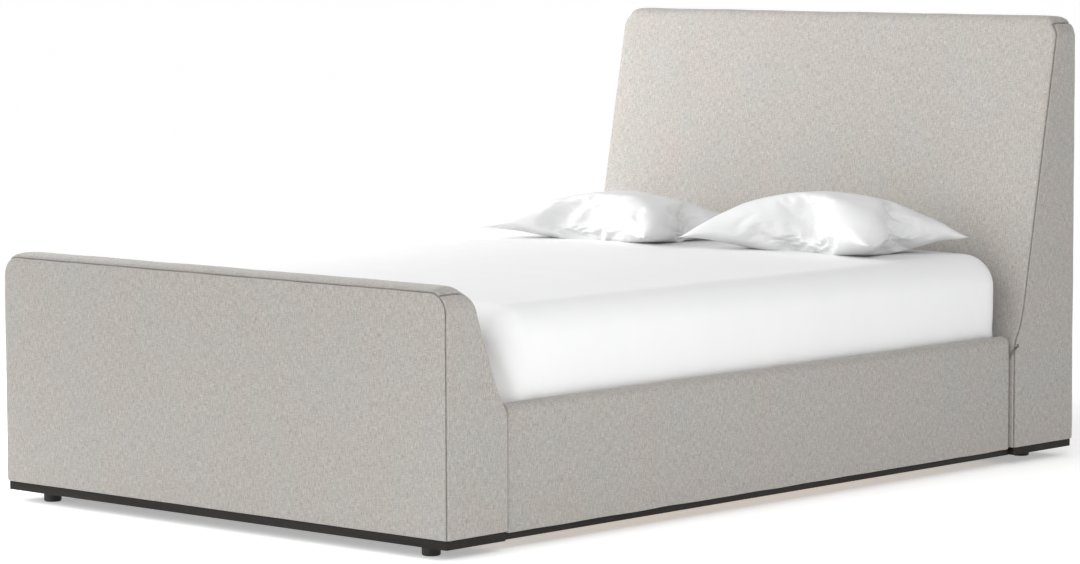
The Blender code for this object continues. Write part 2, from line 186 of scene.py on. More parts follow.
def makeCotton(name, look, crease):
    s = Shader(name)
    where = s.place()
    threads = s.noise(s.moved(where, scale=(1.0, 0.35, 1.0)), look["weave"], 1.0)
    folds = s.noise(s.moved(where, scale=(1.0, 1.6, 1.0)), 7.0, 3.0, 0.45)
    fine = s.noise(where, 38.0, 2.0, 0.5)
    # painted shade: the cloth is a little darker where the fold noise rises, as in the shade of its folds
    colour = s.mix(look["white"], look["shade"], s.between(folds, 0.35, 0.7) * 0.35)
    height = threads * 0.10 + fine * (0.5 * crease) + folds * crease
    return s.finish({
        "Base Color": colour, "Roughness": 0.80 + 0.08 * threads, "Normal": s.bump(height, 0.35, 0.004),
        "Sheen Weight": 0.10, "Sheen Roughness": 0.5, "Specular IOR Level": 0.25,
    })


tickingLook = {"white": (0.72, 0.715, 0.70, 1.0), "stripe": (0.50, 0.53, 0.56, 1.0), "pitch": 0.055}


def makeTicking(look):
    s = Shader("mattressTicking")
    where = s.place()
    knit = s.noise(s.moved(where, scale=(1.0, 0.4, 1.0)), 700.0, 1.0)
    parts = s.node("SeparateXYZ", {}, {0: where}, 0)
    y = Value(s, parts.socket.node.outputs[1])
    turn = math.tau / look["pitch"]
    across = s.node("Math", {"operation": "SINE"}, {0: (parts + y) * turn})
    along = s.node("Math", {"operation": "SINE"}, {0: (parts - y) * turn})
    quilt = s.between(across * across * along * along, 0.0, 0.25)
    colour = s.mix(look["stripe"], look["white"], quilt * 0.7 + 0.3)
    return s.finish({
        "Base Color": colour, "Roughness": 0.88 + 0.06 * knit,
        "Normal": s.bump(quilt + knit * 0.15, 0.6, 0.004), "Sheen Weight": 0.1,
    })


def makeWood(name, look, along):
    # grain runs along X, Y or Z, and pale boards show their growth rings
    s = Shader(name)
    stretch = [1.0, 1.0, 1.0]
    stretch["XYZ".index(along)] = 0.06
    where = s.moved(s.place(), scale=tuple(stretch))
    drift = s.noise(where, 6.0, 2.0)
    rings = s.noise(s.moved(where, scale=(2.2, 2.2, 2.2)), look["rings"], 3.0, 0.6)
    pores = s.noise(where, look["pores"], 2.0, 0.6)
    tone = s.between(rings * 0.75 + drift * 0.25, 0.36, 0.64)
    colour = s.mix(look["pale"], look["dark"], tone * look["contrast"])
    colour = s.mix(colour, look["dark"], s.between(pores, 0.58, 0.72) * 0.35)
    return s.finish({
        "Base Color": colour, "Roughness": look["roughness"] + 0.12 * pores,
        "Normal": s.bump(pores + tone * 0.4, 0.35, look["depth"]), "Specular IOR Level": look["specular"],
    })


pineLook = {"pale": (0.70, 0.53, 0.33, 1.0), "dark": (0.47, 0.29, 0.13, 1.0), "rings": 9.0, "pores": 160.0,
            "contrast": 0.65, "roughness": 0.58, "depth": 0.0006, "specular": 0.3}
blackWoodLook = {"pale": (0.017, 0.014, 0.012, 1.0), "dark": (0.006, 0.005, 0.004, 1.0), "rings": 14.0,
                 "pores": 220.0, "contrast": 0.8, "roughness": 0.46, "depth": 0.0004, "specular": 0.22}
plyLook = {"pale": (0.66, 0.50, 0.32, 1.0), "dark": (0.48, 0.33, 0.18, 1.0), "rings": 7.0, "pores": 130.0,
           "contrast": 0.5, "roughness": 0.60, "depth": 0.0005, "specular": 0.3}


def makeBlackPlastic():
    s = Shader("blackPlastic")
    where = s.place()
    grain = s.noise(where, 900.0, 2.0)
    scuffs = s.noise(s.moved(where, scale=(1.0, 1.0, 0.2)), 70.0, 3.0)
    colour = s.mix((0.011, 0.011, 0.011, 1.0), (0.030, 0.029, 0.028, 1.0), s.between(scuffs, 0.55, 0.8) * 0.6)
    return s.finish({
        "Base Color": colour, "Roughness": 0.42 + 0.2 * scuffs, "Normal": s.bump(grain, 0.25, 0.0003),
    })


def makeZinc():
    s = Shader("zincPlatedSteel")
    where = s.place()
    spangle = s.noise(where, 160.0, 3.0, 0.6)
    brushed = s.noise(s.moved(where, scale=(1.0, 1.0, 0.04)), 1300.0, 1.0)
    colour = s.mix((0.52, 0.53, 0.54, 1.0), (0.68, 0.66, 0.60, 1.0), s.between(spangle, 0.4, 0.65) * 0.7)
    return s.finish({
        "Base Color": colour, "Metallic": 1.0, "Roughness": 0.28 + 0.22 * spangle,
        "Normal": s.bump(brushed, 0.15, 0.0002),
    })


linen = makeLinen(linenLook)
sheetCotton = makeCotton("sheetPercale", cottonLook, 0.25)
pillowCotton = makeCotton("pillowPercale", pillowCottonShadedLook, 0.30)
ticking = makeTicking(tickingLook)
pineAcross = makeWood("pineAcross", pineLook, "X")
pineAlong = makeWood("pineAlong", pineLook, "Y")
pineUpright = makeWood("pineUpright", pineLook, "Z")
plyAcross = makeWood("birchPlyAcross", plyLook, "X")
plyAlong = makeWood("birchPlyAlong", plyLook, "Y")
plyUpright = makeWood("birchPlyUpright", plyLook, "Z")
blackAcross = makeWood("blackWoodAcross", blackWoodLook, "X")
blackAlong = makeWood("blackWoodAlong", blackWoodLook, "Y")
blackPlastic = makeBlackPlastic()
zinc = makeZinc()
print("materials made:", len(bpy.data.materials))


# what each plain node is made of, by a part of its name, and plywood for the rest
materialOf = {
    "foot_": blackPlastic, "levelling": blackPlastic, "corner_": zinc, "board_plinth": blackAcross,
    "rail_plinth": blackAlong, "slat_": pineAcross, "centre_leg": pineUpright, "cleat": pineAlong,
    "centre_beam": pineAlong, "rail_board": plyAlong, "_rib_": plyUpright,
}


# ---- Meshes from grids of points ----

def unit(vectors):
    return vectors / np.maximum(np.linalg.norm(vectors, axis=-1, keepdims=True), 1e-12)


def ripple(points, wavelength, seed, waves=9):
    # smooth unevenness, from about -1 to 1
    draw = np.random.default_rng(seed)
    total = np.zeros(points.shape[:-1])
    for _ in range(waves):
        direction = unit(draw.normal(size=3))
        turn = math.tau / (wavelength * draw.uniform(0.7, 1.6))
        total += np.sin(points @ direction * turn + draw.uniform(0, math.tau))
    return total / math.sqrt(waves) * 0.8


def smooth(value, low, high):
    t = np.clip((value - low) / (high - low), 0.0, 1.0)
    return t * t * (3 - 2 * t)


def newObject(name, data):
    made = bpy.data.objects.new(name, data)
    bpy.context.scene.collection.objects.link(made)
    return made


def meshOf(name, shape, recalculate=True, solid=False):
    # a bmesh made into a mesh that faces outwards
    if recalculate:
        bmesh.ops.recalc_face_normals(shape, faces=shape.faces)
    if solid and shape.calc_volume(signed=True) < 0:
        bmesh.ops.reverse_faces(shape, faces=shape.faces)
    mesh = bpy.data.meshes.new(name)
    shape.to_mesh(mesh)
    shape.free()
    return mesh


def plainMesh(piece):
    # the piece's mesh with its modifiers applied
    graph = bpy.context.evaluated_depsgraph_get()
    return bpy.data.meshes.new_from_object(piece.evaluated_get(graph), depsgraph=graph)


def bridge(shape, first, second):
    # joins two closed rings of corners with a band of faces
    count = len(first)
    for k in range(count):
        n = (k + 1) % count
        shape.faces.new((first[k], second[k], second[n], first[n]))


def addPiece(name, mesh, material, body, nodes=()):
    piece = newObject(name, mesh)
    mesh.materials.clear()
    mesh.materials.append(material)
    mesh.shade_smooth()
    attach(piece, body)
    if nodes:
        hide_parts(*nodes)
    return piece


def gridSurface(name, grids):
    # joins grids of (points, uv) into one surface with its own weave map
    shape = bmesh.new()
    weave = shape.loops.layers.uv.new("weave")
    for points, uv in grids:
        rows, columns = points.shape[:2]
        verts = [[shape.verts.new(points[r, c]) for c in range(columns)] for r in range(rows)]
        for r in range(rows - 1):
            for c in range(columns - 1):
                corners = ((r, c), (r, c + 1), (r + 1, c + 1), (r + 1, c))
                face = shape.faces.new([verts[i][j] for i, j in corners])
                for loop, (i, j) in zip(face.loops, corners):
                    loop[weave].uv = uv[i, j]
    bmesh.ops.remove_doubles(shape, verts=shape.verts, dist=1e-6)
    return meshOf(name, shape)


def points3(mesh):
    co = np.zeros(len(mesh.vertices) * 3)
    mesh.vertices.foreach_get("co", co)
    return co.reshape(-1, 3)


def normals3(mesh):
    normal = np.zeros(len(mesh.vertices) * 3)
    mesh.vertex_normals.foreach_get("vector", normal)
    return normal.reshape(-1, 3)


def setPoints(mesh, points):
    mesh.vertices.foreach_set("co", points.ravel())
    mesh.update()


def faceOutward(mesh, centre):
    points, normals = points3(mesh), normals3(mesh)
    if ((points - centre) * normals).sum() < 0:
        mesh.flip_normals()


def nearestOn(points, line):
    # distance to a line of points, the nearest place on it and its direction there
    best = np.full(len(points), 1e9)
    place, tangent = np.zeros_like(points), np.zeros_like(points)
    for start, end in zip(line, line[1:]):
        step = end - start
        size = step @ step
        if size < 1e-14:
            continue
        t = np.clip((points - start) @ step / size, 0.0, 1.0)
        there = start + t[:, None] * step
        distance = np.linalg.norm(points - there, axis=1)
        nearer = distance < best
        best[nearer] = distance[nearer]
        place[nearer] = there[nearer]
        tangent[nearer] = step / math.sqrt(size)
    return best, place, tangent


class Repeat:
    # a node group that lays out what repeats or follows a path, then makes it one plain mesh
    def __init__(self, name, inputs):
        self.group = bpy.data.node_groups.new(name, "GeometryNodeTree")
        sockets = self.group.interface
        sockets.new_socket("Geometry", in_out="INPUT", socket_type="NodeSocketGeometry")
        self.keys = {}
        for label, kind in inputs.items():
            self.keys[label] = sockets.new_socket(label, in_out="INPUT", socket_type=kind).identifier
        sockets.new_socket("Geometry", in_out="OUTPUT", socket_type="NodeSocketGeometry")
        self.start = self.group.nodes.new("NodeGroupInput")
        self.layout = self.start.outputs[0]

    def given(self, label):
        return self.start.outputs[label]

    def node(self, kind, settings, values, output=0):
        made = self.group.nodes.new(kind)
        for key, value in settings.items():
            setattr(made, key, value)
        for key, value in values.items():
            if isinstance(value, bpy.types.NodeSocket):
                self.group.links.new(value, made.inputs[key])
            else:
                made.inputs[key].default_value = value
        return made.outputs[output]

    def make(self, name, mesh, result, material, body, values):
        plain = self.node("GeometryNodeRealizeInstances", {}, {"Geometry": result})
        faced = self.node("GeometryNodeSetMaterial", {}, {"Geometry": plain, "Material": material})
        end = self.group.nodes.new("NodeGroupOutput")
        self.group.links.new(faced, end.inputs[0])
        piece = newObject(name, mesh)
        layout = piece.modifiers.new("layout", "NODES")
        layout.node_group = self.group
        for label, value in values.items():
            layout[self.keys[label]] = value
        final = plainMesh(piece)
        bpy.data.objects.remove(piece)
        return addPiece(name, final, material, body)


def pointMesh(name, spots, loop=False):
    count = len(spots)
    edges = [(k, (k + 1) % count) for k in range(count)] if loop else []
    mesh = bpy.data.meshes.new(name)
    mesh.from_pydata([tuple(p) for p in spots], edges, [])
    return mesh


def closedTube(name, shape, rings):
    # bridges the rings, closes both ends and returns a template object outside the scene
    for first, second in zip(rings, rings[1:]):
        bridge(shape, first, second)
    shape.faces.new(rings[0])
    shape.faces.new(rings[-1])
    return bpy.data.objects.new(name, meshOf(name, shape))


def turned(name, profile, sides):
    # a small turned shape with its axis upright, as a template for repeats
    shape = bmesh.new()
    rings = []
    for radius, height in profile:
        angles = np.linspace(0, math.tau, sides, endpoint=False)
        rings.append([shape.verts.new((radius * math.cos(a), radius * math.sin(a), height)) for a in angles])
    return closedTube(name, shape, rings)


seamLook = {
    "round": 0.011, "valley": 0.0030, "valleyWidth": 0.0026, "pucker": 0.35, "puckerLength": 0.035,
    "shade": 0.0024,
}


def drawIn(points, normals, line, centre, look, turned=True):
    # rounds a panel over to its seam and sinks the seam into a groove
    distance, place, tangent = nearestOn(points, line)
    away = place - points
    outward = np.cross(normals, tangent)
    reference = np.where((distance > 6e-4)[:, None], away, place - centre)
    sign = np.where((outward * reference).sum(1) < 0, -1.0, 1.0)[:, None]
    outward = unit(outward) * sign
    radius = look["round"]
    moved = points.copy()
    angle = np.zeros(len(points))
    if turned:
        share = np.clip(1 - distance / radius, 0.0, 1.0)
        angle = share * math.pi / 4
        slide = distance - radius + radius * np.sin(angle)
        drop = radius - radius * np.cos(angle)
        near = distance < radius
        moved += np.where(near[:, None], outward * slide[:, None] - normals * drop[:, None], 0.0)
    facing = outward * np.sin(angle)[:, None] + normals * np.cos(angle)[:, None]
    pucker = 1 + look["pucker"] * ripple(place, look["puckerLength"], 5)
    groove = look["valley"] * pucker * np.exp(-((distance / look["valleyWidth"]) ** 2))
    soft = 0.35 * look["valley"] * pucker * np.exp(-((distance / (5 * look["valleyWidth"])) ** 2))
    return moved - facing * (groove + soft)[:, None], distance


seamSteps = (0.0, 0.0012, 0.0026, 0.0045, 0.0070, 0.0105, 0.0150, 0.0220)


def scaled(steps, length):
    return tuple(step / length for step in steps)


def spaced(length, step, fine=seamSteps, both=True):
    # distances from 0 to length, close together near the ends
    near = [d for d in fine if d < 0.45 * length]
    start, end = near[-1], length - near[-1] if both else length
    count = max(1, round((end - start) / step))
    middle = list(np.linspace(start, end, count + 1))
    far = [length - d for d in reversed(near[:-1])] if both else []
    return np.array(near[:-1] + middle + far)


def markSeams(mesh, distance):
    # 1 on a seam, falling to 0 a few millimetres away; the linen paints shadow along the seams by it
    mark = mesh.attributes.new("seam", "FLOAT", "POINT")
    mark.data.foreach_set("value", np.exp(-((distance / seamLook["shade"]) ** 2)))


def rimEdges(mesh):
    shape = bmesh.new()
    shape.from_mesh(mesh)
    edges = np.array([[v.index for v in e.verts] for e in shape.edges if e.is_boundary])
    shape.free()
    mark = np.zeros(len(mesh.vertices))
    mesh.attributes["seam"].data.foreach_get("value", mark)
    return edges[(mark[edges] > 0.9).all(axis=1)]


def nearestSegment(points, starts, ends):
    # the nearest place to each point on a set of short straight lines
    step = ends - starts
    size = np.maximum((step * step).sum(1), 1e-14)
    made = np.zeros_like(points)
    for k, point in enumerate(points):
        t = np.clip(((point - starts) * step).sum(1) / size, 0.0, 1.0)
        there = starts + t[:, None] * step
        made[k] = there[np.argmin(((there - point) ** 2).sum(1))]
    return made


def closeSeams(meshes, reach=0.012, passes=5, spread=0.008):
    # brings the edges of neighbouring panels together, so that every seam is shut
    edges = [rimEdges(mesh) for mesh in meshes]
    rims = [np.unique(pairs) for pairs in edges]
    spots = [points3(mesh) for mesh in meshes]
    before = [spot[rim].copy() for spot, rim in zip(spots, rims)]
    for _ in range(passes):
        shifts = []
        for k, rim in enumerate(rims):
            others = [j for j in range(len(meshes)) if j != k]
            starts = np.concatenate([spots[j][edges[j][:, 0]] for j in others])
            ends = np.concatenate([spots[j][edges[j][:, 1]] for j in others])
            gap = nearestSegment(spots[k][rim], starts, ends) - spots[k][rim]
            shut = np.linalg.norm(gap, axis=1) < reach
            shifts.append(np.where(shut[:, None], 0.5 * gap, 0.0))
        for k, rim in enumerate(rims):
            spots[k][rim] += shifts[k]
    for k, rim in enumerate(rims):
        total = spots[k][rim] - before[k]
        tree = kdtree.KDTree(len(rim))
        for index, point in enumerate(before[k]):
            tree.insert(point, index)
        tree.balance()
        inside = np.setdiff1d(np.arange(len(spots[k])), rim)
        for index in inside:
            found = tree.find_n(spots[k][index], 3)
            if found[0][2] < 3 * spread:
                weights = np.array([1 / (f[2] + 1e-5) for f in found])
                pull = (weights[:, None] * total[[f[1] for f in found]]).sum(0) / weights.sum()
                spots[k][index] += pull * math.exp(-((found[0][2] / spread) ** 2))
        setPoints(meshes[k], spots[k])


def finishPanel(mesh, thickness, nodes):
    piece = addPiece(mesh.name, mesh, linen, "bed_frame", nodes)
    soften = piece.modifiers.new("soften", "SUBSURF")
    soften.levels = soften.render_levels = 1
    wall = piece.modifiers.new("wall", "SOLIDIFY")
    wall.thickness, wall.offset = thickness, -1.0
    final = plainMesh(piece)
    piece.modifiers.clear()
    piece.data = final
    final.name = mesh.name


# ---- Footboard and headboard ----

footboardLook = {
    "faceDepth": 0.1411, "faceHeight": 0.530, "lean": 0.372, "shoulder": 0.060,
    "flareTop": 0.405, "flareMiddle": 0.372, "flareEnd": 0.350,
    "outerStep": 0.05, "innerStep": 0.035, "corner": 0.055, "seamTurn": 57.0,
    "topCrown": 0.0100, "faceCrown": 0.0045, "outerCrown": 0.0030,
    "wave": 0.0007,
}
headboardLook = {
    "faceDepth": 0.2098, "faceHeight": 0.6226, "lean": 0.195, "shoulder": 0.024,
    "flareTop": 0.455, "flareMiddle": 0.375, "flareEnd": 0.348,
    "outerStep": 0.03, "innerStep": 0.022, "corner": 0.055, "seamTurn": 50.0,
    "topCrown": 0.0070, "faceCrown": 0.0070, "outerCrown": 0.0040,
    "wave": 0.0010,
}


overSteps = (0, 0.003, 0.007, 0.012, 0.018, 0.025, 0.033, 0.042, 0.052, 0.064, 0.078)


def curve(start, control, end, steps):
    t = np.linspace(0, 1, steps + 1)[1:, None]
    return (1 - t) ** 2 * np.array(start) + 2 * t * (1 - t) * np.array(control) + t * t * np.array(end)


def sideLine(look, low, depth, top):
    # the leaning side's outline, from the back of the shoulder down to the hem
    def faceDepth(height):
        return look["faceDepth"] + (look["faceHeight"] - height) * look["lean"]

    turn = math.pi / 2 - math.atan(look["lean"])
    shoulder = look["shoulder"]
    centre = np.array((faceDepth(top) - shoulder * math.tan(turn / 2), top - shoulder))
    angles = np.linspace(math.pi / 2, math.pi / 2 - turn, 13)[:, None]
    arc = centre + shoulder * np.hstack((np.cos(angles), np.sin(angles)))
    flare = [(faceDepth(look[key]), look[key]) for key in ("flareTop", "flareMiddle")]
    bend = curve(flare[0], flare[1], (depth, look["flareEnd"]), 12)
    return np.vstack((arc, [flare[0]], bend, [(depth, low)]))


def along(line, distance):
    steps = np.linalg.norm(np.diff(line, axis=0), axis=1)
    total = np.concatenate(([0.0], np.cumsum(steps)))
    return np.stack([np.interp(distance, total, line[:, k]) for k in range(2)], axis=-1), total[-1]


class EndPanel:
    def __init__(self, prefix, look, outward):
        self.prefix, self.look, self.outward = prefix, look, outward
        low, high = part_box(f"{prefix}_side_cover_right")
        faceLow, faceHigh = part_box(f"{prefix}_outer_cover")
        self.half, self.low, self.top = high.x, faceLow.z, faceHigh.z
        self.outerY = faceLow.y if outward < 0 else faceHigh.y
        self.depth = abs((high.y if outward < 0 else low.y) - self.outerY)
        self.line = sideLine(look, self.low, self.depth, self.top)
        self.radius = look["corner"]
        self.turn = math.radians(look["seamTurn"])
        self.seamX = self.half - self.radius + self.radius * math.cos(self.turn)
        self.seamZ = self.top - self.radius + self.radius * math.sin(self.turn)
        self.centre = self.world(np.array([[0.0, 0.4 * self.depth, 0.5 * self.top]]))[0]

    def world(self, points):
        made = np.array(points, float)
        made[..., 1] = self.outerY - self.outward * made[..., 1]
        return made

    def outlineHeight(self, x):
        inside = np.clip(np.abs(x) - (self.half - self.radius), 0.0, self.radius)
        return self.top - self.radius + np.sqrt(np.maximum(self.radius ** 2 - inside ** 2, 0.0))

    def depthAt(self, height):
        heights, depths = self.line[::-1, 1], self.line[::-1, 0]
        return np.interp(height, heights, depths)

    def columns(self, step):
        # x stations over the whole width, closer together round the corners and at the seams
        turns = np.linspace(0.0, math.pi / 2, 15)
        corner = self.half - self.radius + self.radius * np.cos(turns)
        corner = corner[np.abs(corner - self.seamX) > 0.0012]
        near = self.half - np.array((0.0013, 0.0028, 0.0048, 0.0075, 0.0110))
        beside = self.seamX + np.array((-0.006, -0.003, -0.0013, 0.0, 0.0013))
        fineWidth = 0.30
        toFine = self.half - fineWidth
        fine = self.half - spaced(fineWidth, 0.02, (0.0, 0.03, 0.045, 0.06), False)
        middle = np.linspace(0.0, toFine, round(toFine / step) + 1)
        right = np.concatenate((corner, near, beside, fine, middle))
        right = np.unique(np.round(right[(right >= 0) & (right <= self.half)], 5))
        keep = [right[0]]
        for x in right[1:]:
            if x - keep[-1] > 0.0009 or abs(x - self.half) < 1e-6 or abs(x - self.seamX) < 2e-5:
                keep.append(x)
        right = np.array(keep)
        right[np.argmin(np.abs(right - self.seamX))] = self.seamX
        right[-1] = self.half
        return np.concatenate((-right[:0:-1], right))

    def faceOutline(self):
        # where the outer face meets the band and the side panels
        turns = np.unique(np.append(np.linspace(0, math.pi / 2, 33), self.turn))
        corner = self.radius * np.stack((np.cos(turns), np.sin(turns)), axis=1)
        corner += (self.half - self.radius, self.top - self.radius)
        right = np.vstack(([(self.half, self.low)], corner))
        left = right[::-1] * (-1, 1)
        flat = np.vstack((right, left))
        return self.world(np.insert(flat, 1, 0.0, axis=1))

    def innerEdge(self, sign):
        # where the inner face meets a side panel
        turns = np.linspace(self.turn, 0, 19)
        x = self.half - self.radius + self.radius * np.cos(turns)
        z = self.top - self.radius + self.radius * np.sin(turns)
        corner = np.stack((x, self.depthAt(z), z), axis=1)
        below = self.line[self.line[:, 1] < z[-1] - 1e-6]
        down = np.insert(below, 0, self.half, axis=1)
        line = np.vstack((corner, down))
        line[:, 0] *= sign
        return self.world(line)

    def crossSeam(self, sign):
        depth = self.depthAt(self.seamZ)
        return self.world([[sign * self.seamX, d, self.seamZ] for d in (0.0, depth)])

    def roundHem(self, points, normals):
        # the cover turns under at its lower edge
        radius = 0.006
        rise = np.clip((points[:, 2] - self.low) / radius, 0.0, 1.0)
        drop = radius * (1 - np.sqrt(1 - (1 - rise) ** 2))
        return points - normals * drop[:, None] * 0.8

    def shape(self, mesh, seams, crown, seed):
        faceOutward(mesh, self.centre)
        base, normals = points3(mesh), normals3(mesh)
        moved, nearest = base.copy(), np.full(len(base), 1e9)
        for line, turned in seams:
            shifted, distance = drawIn(base, normals, line, base.mean(0), seamLook, turned)
            moved += shifted - base
            nearest = np.minimum(nearest, distance)
        rise = crown(base, nearest)
        rise = rise + self.look["wave"] * ripple(base, 0.19, seed) * smooth(nearest, 0.0, 0.05)
        moved += normals * rise[:, None]
        setPoints(mesh, self.roundHem(moved, normals))
        markSeams(mesh, nearest)

    def makeOuter(self):
        columns = self.columns(0.03)
        heights = self.outlineHeight(columns)
        rows = spaced(1.0, self.look["outerStep"], scaled(seamSteps, self.top - self.low))
        z = self.low + (heights[None, :] - self.low) * rows[:, None]
        x = np.repeat(columns[None, :], len(rows), 0)
        points = self.world(np.stack((x, np.zeros_like(x), z), axis=-1))
        mesh = gridSurface(f"{self.prefix}_outer_panel", [(points, np.stack((x, z), axis=-1))])

        def crown(base, nearest):
            rise = smooth(base[:, 2], self.low, self.low + 0.12)
            return self.look["outerCrown"] * (1 - np.exp(-nearest / 0.10)) * rise

        self.shape(mesh, [(self.faceOutline(), True)], crown, 11)
        return mesh

    def makeSide(self, side, sign):
        straight = self.top - self.radius - self.low
        lengths = np.concatenate((
            spaced(straight, 0.016, both=False),
            straight + self.radius * np.linspace(0, self.turn, 12)[1:],
        ))
        angle = np.clip((lengths - straight) / self.radius, 0, None)
        x = self.half - self.radius + self.radius * np.cos(angle)
        z = np.where(angle > 0, self.top - self.radius + self.radius * np.sin(angle), self.low + lengths)
        depths = self.depthAt(z)
        share = spaced(1.0, 0.07, scaled(seamSteps[:-1], 0.12))
        depth = depths[:, None] * share[None, :]
        across = np.repeat(x[:, None], len(share), 1) * sign
        up = np.repeat(z[:, None], len(share), 1)
        points = self.world(np.stack((across, depth, up), axis=-1))
        uv = np.stack((depth + 3.0 + sign, np.repeat(lengths[:, None], len(share), 1)), axis=-1)
        mesh = gridSurface(f"{self.prefix}_side_panel_{side}", [(points, uv)])
        front = self.faceOutline()
        front = front[front[:, 0] * sign > 0]
        seams = [(front, True), (self.innerEdge(sign), True), (self.crossSeam(sign), False)]

        def crown(base, nearest):
            return 0.0022 * (1 - np.exp(-nearest / 0.03)) * smooth(base[:, 2], self.low, self.low + 0.1)

        self.shape(mesh, seams, crown, 17 + int(sign))
        return mesh

    def makeBand(self):
        columns = self.columns(0.03)
        startHeight = self.outlineHeight(columns)
        total = along(self.line, 0.0)[1]
        stations = np.linspace(0, total, 1200)
        dense, _ = along(self.line, stations)
        start = np.interp(-startHeight, -dense[:, 1], stations)
        start[startHeight > self.top - 1e-7] = 0.0
        share = spaced(1.0, self.look["innerStep"], scaled(overSteps, total))
        t = start[None, :] + (total - start[None, :]) * share[:, None]
        face = np.stack([np.interp(t, stations, dense[:, k]) for k in range(2)], axis=-1)
        face[0, :, 1] = np.minimum(face[0, :, 1], startHeight)
        x = np.repeat(columns[None, :], len(share), 0)
        inner = np.stack((x, face[..., 0], face[..., 1]), axis=-1)
        innerUv = np.stack((x + 7.0, -t), axis=-1)
        topColumns = np.abs(columns) <= self.seamX + 1e-6
        edgeDepth = face[0, topColumns, 0]
        shares = spaced(1.0, 0.11, scaled(seamSteps, 0.08), False)
        depth = shares[:, None] * edgeDepth[None, :]
        topX = np.repeat(columns[topColumns][None, :], len(shares), 0)
        topZ = np.repeat(face[0, topColumns, 1][None, :], len(shares), 0)
        top = np.stack((topX, depth, topZ), axis=-1)
        topUv = np.stack((topX + 7.0, edgeDepth[None, :] - depth - start[topColumns][None, :]), axis=-1)
        mesh = gridSurface(f"{self.prefix}_inner_panel", [
            (self.world(inner), innerUv), (self.world(top), topUv),
        ])
        front = self.faceOutline()
        seams = [(front[front[:, 2] > self.top - self.radius - 1e-6], True)]
        for sign in (-1, 1):
            seams += [(self.innerEdge(sign), True), (self.crossSeam(sign), False)]

        def crown(base, nearest):
            high = smooth(base[:, 2], self.top - 0.10, self.top - 0.01)
            free = smooth(base[:, 2], self.look["flareEnd"] + 0.01, self.look["flareTop"] + 0.06)
            top = self.look["topCrown"] * (1 - np.exp(-nearest / 0.020)) * high
            face = self.look["faceCrown"] * (1 - np.exp(-nearest / 0.060)) * (1 - high) * free
            return top + face

        self.shape(mesh, seams, crown, 23)
        return mesh


for prefix, look, outward in (("footboard", footboardLook, -1), ("headboard", headboardLook, 1)):
    end = EndPanel(prefix, look, outward)
    panels = {"outer_cover": end.makeOuter(), "inner_cover": end.makeBand()}
    for side, sign in (("left", -1), ("right", 1)):
        panels[f"side_cover_{side}"] = end.makeSide(side, sign)
    closeSeams(list(panels.values()))
    for cover, mesh in panels.items():
        finishPanel(mesh, 0.012, [f"{prefix}_{cover}"])
    print(prefix, "upholstered")


# ---- Rail covers ----

railLook = {
    "outerRound": 0.021, "innerRound": 0.010, "hemRound": 0.005, "foldBottom": 0.310, "belly": 0.0020,
    "endRound": 0.013, "endGap": 0.0020, "wave": 0.0008,
}


def arcPoints(centre, radius, start, end, steps):
    angles = np.radians(np.linspace(start, end, steps + 1))
    return np.stack((centre[0] + radius * np.cos(angles), centre[1] + radius * np.sin(angles)), axis=1)


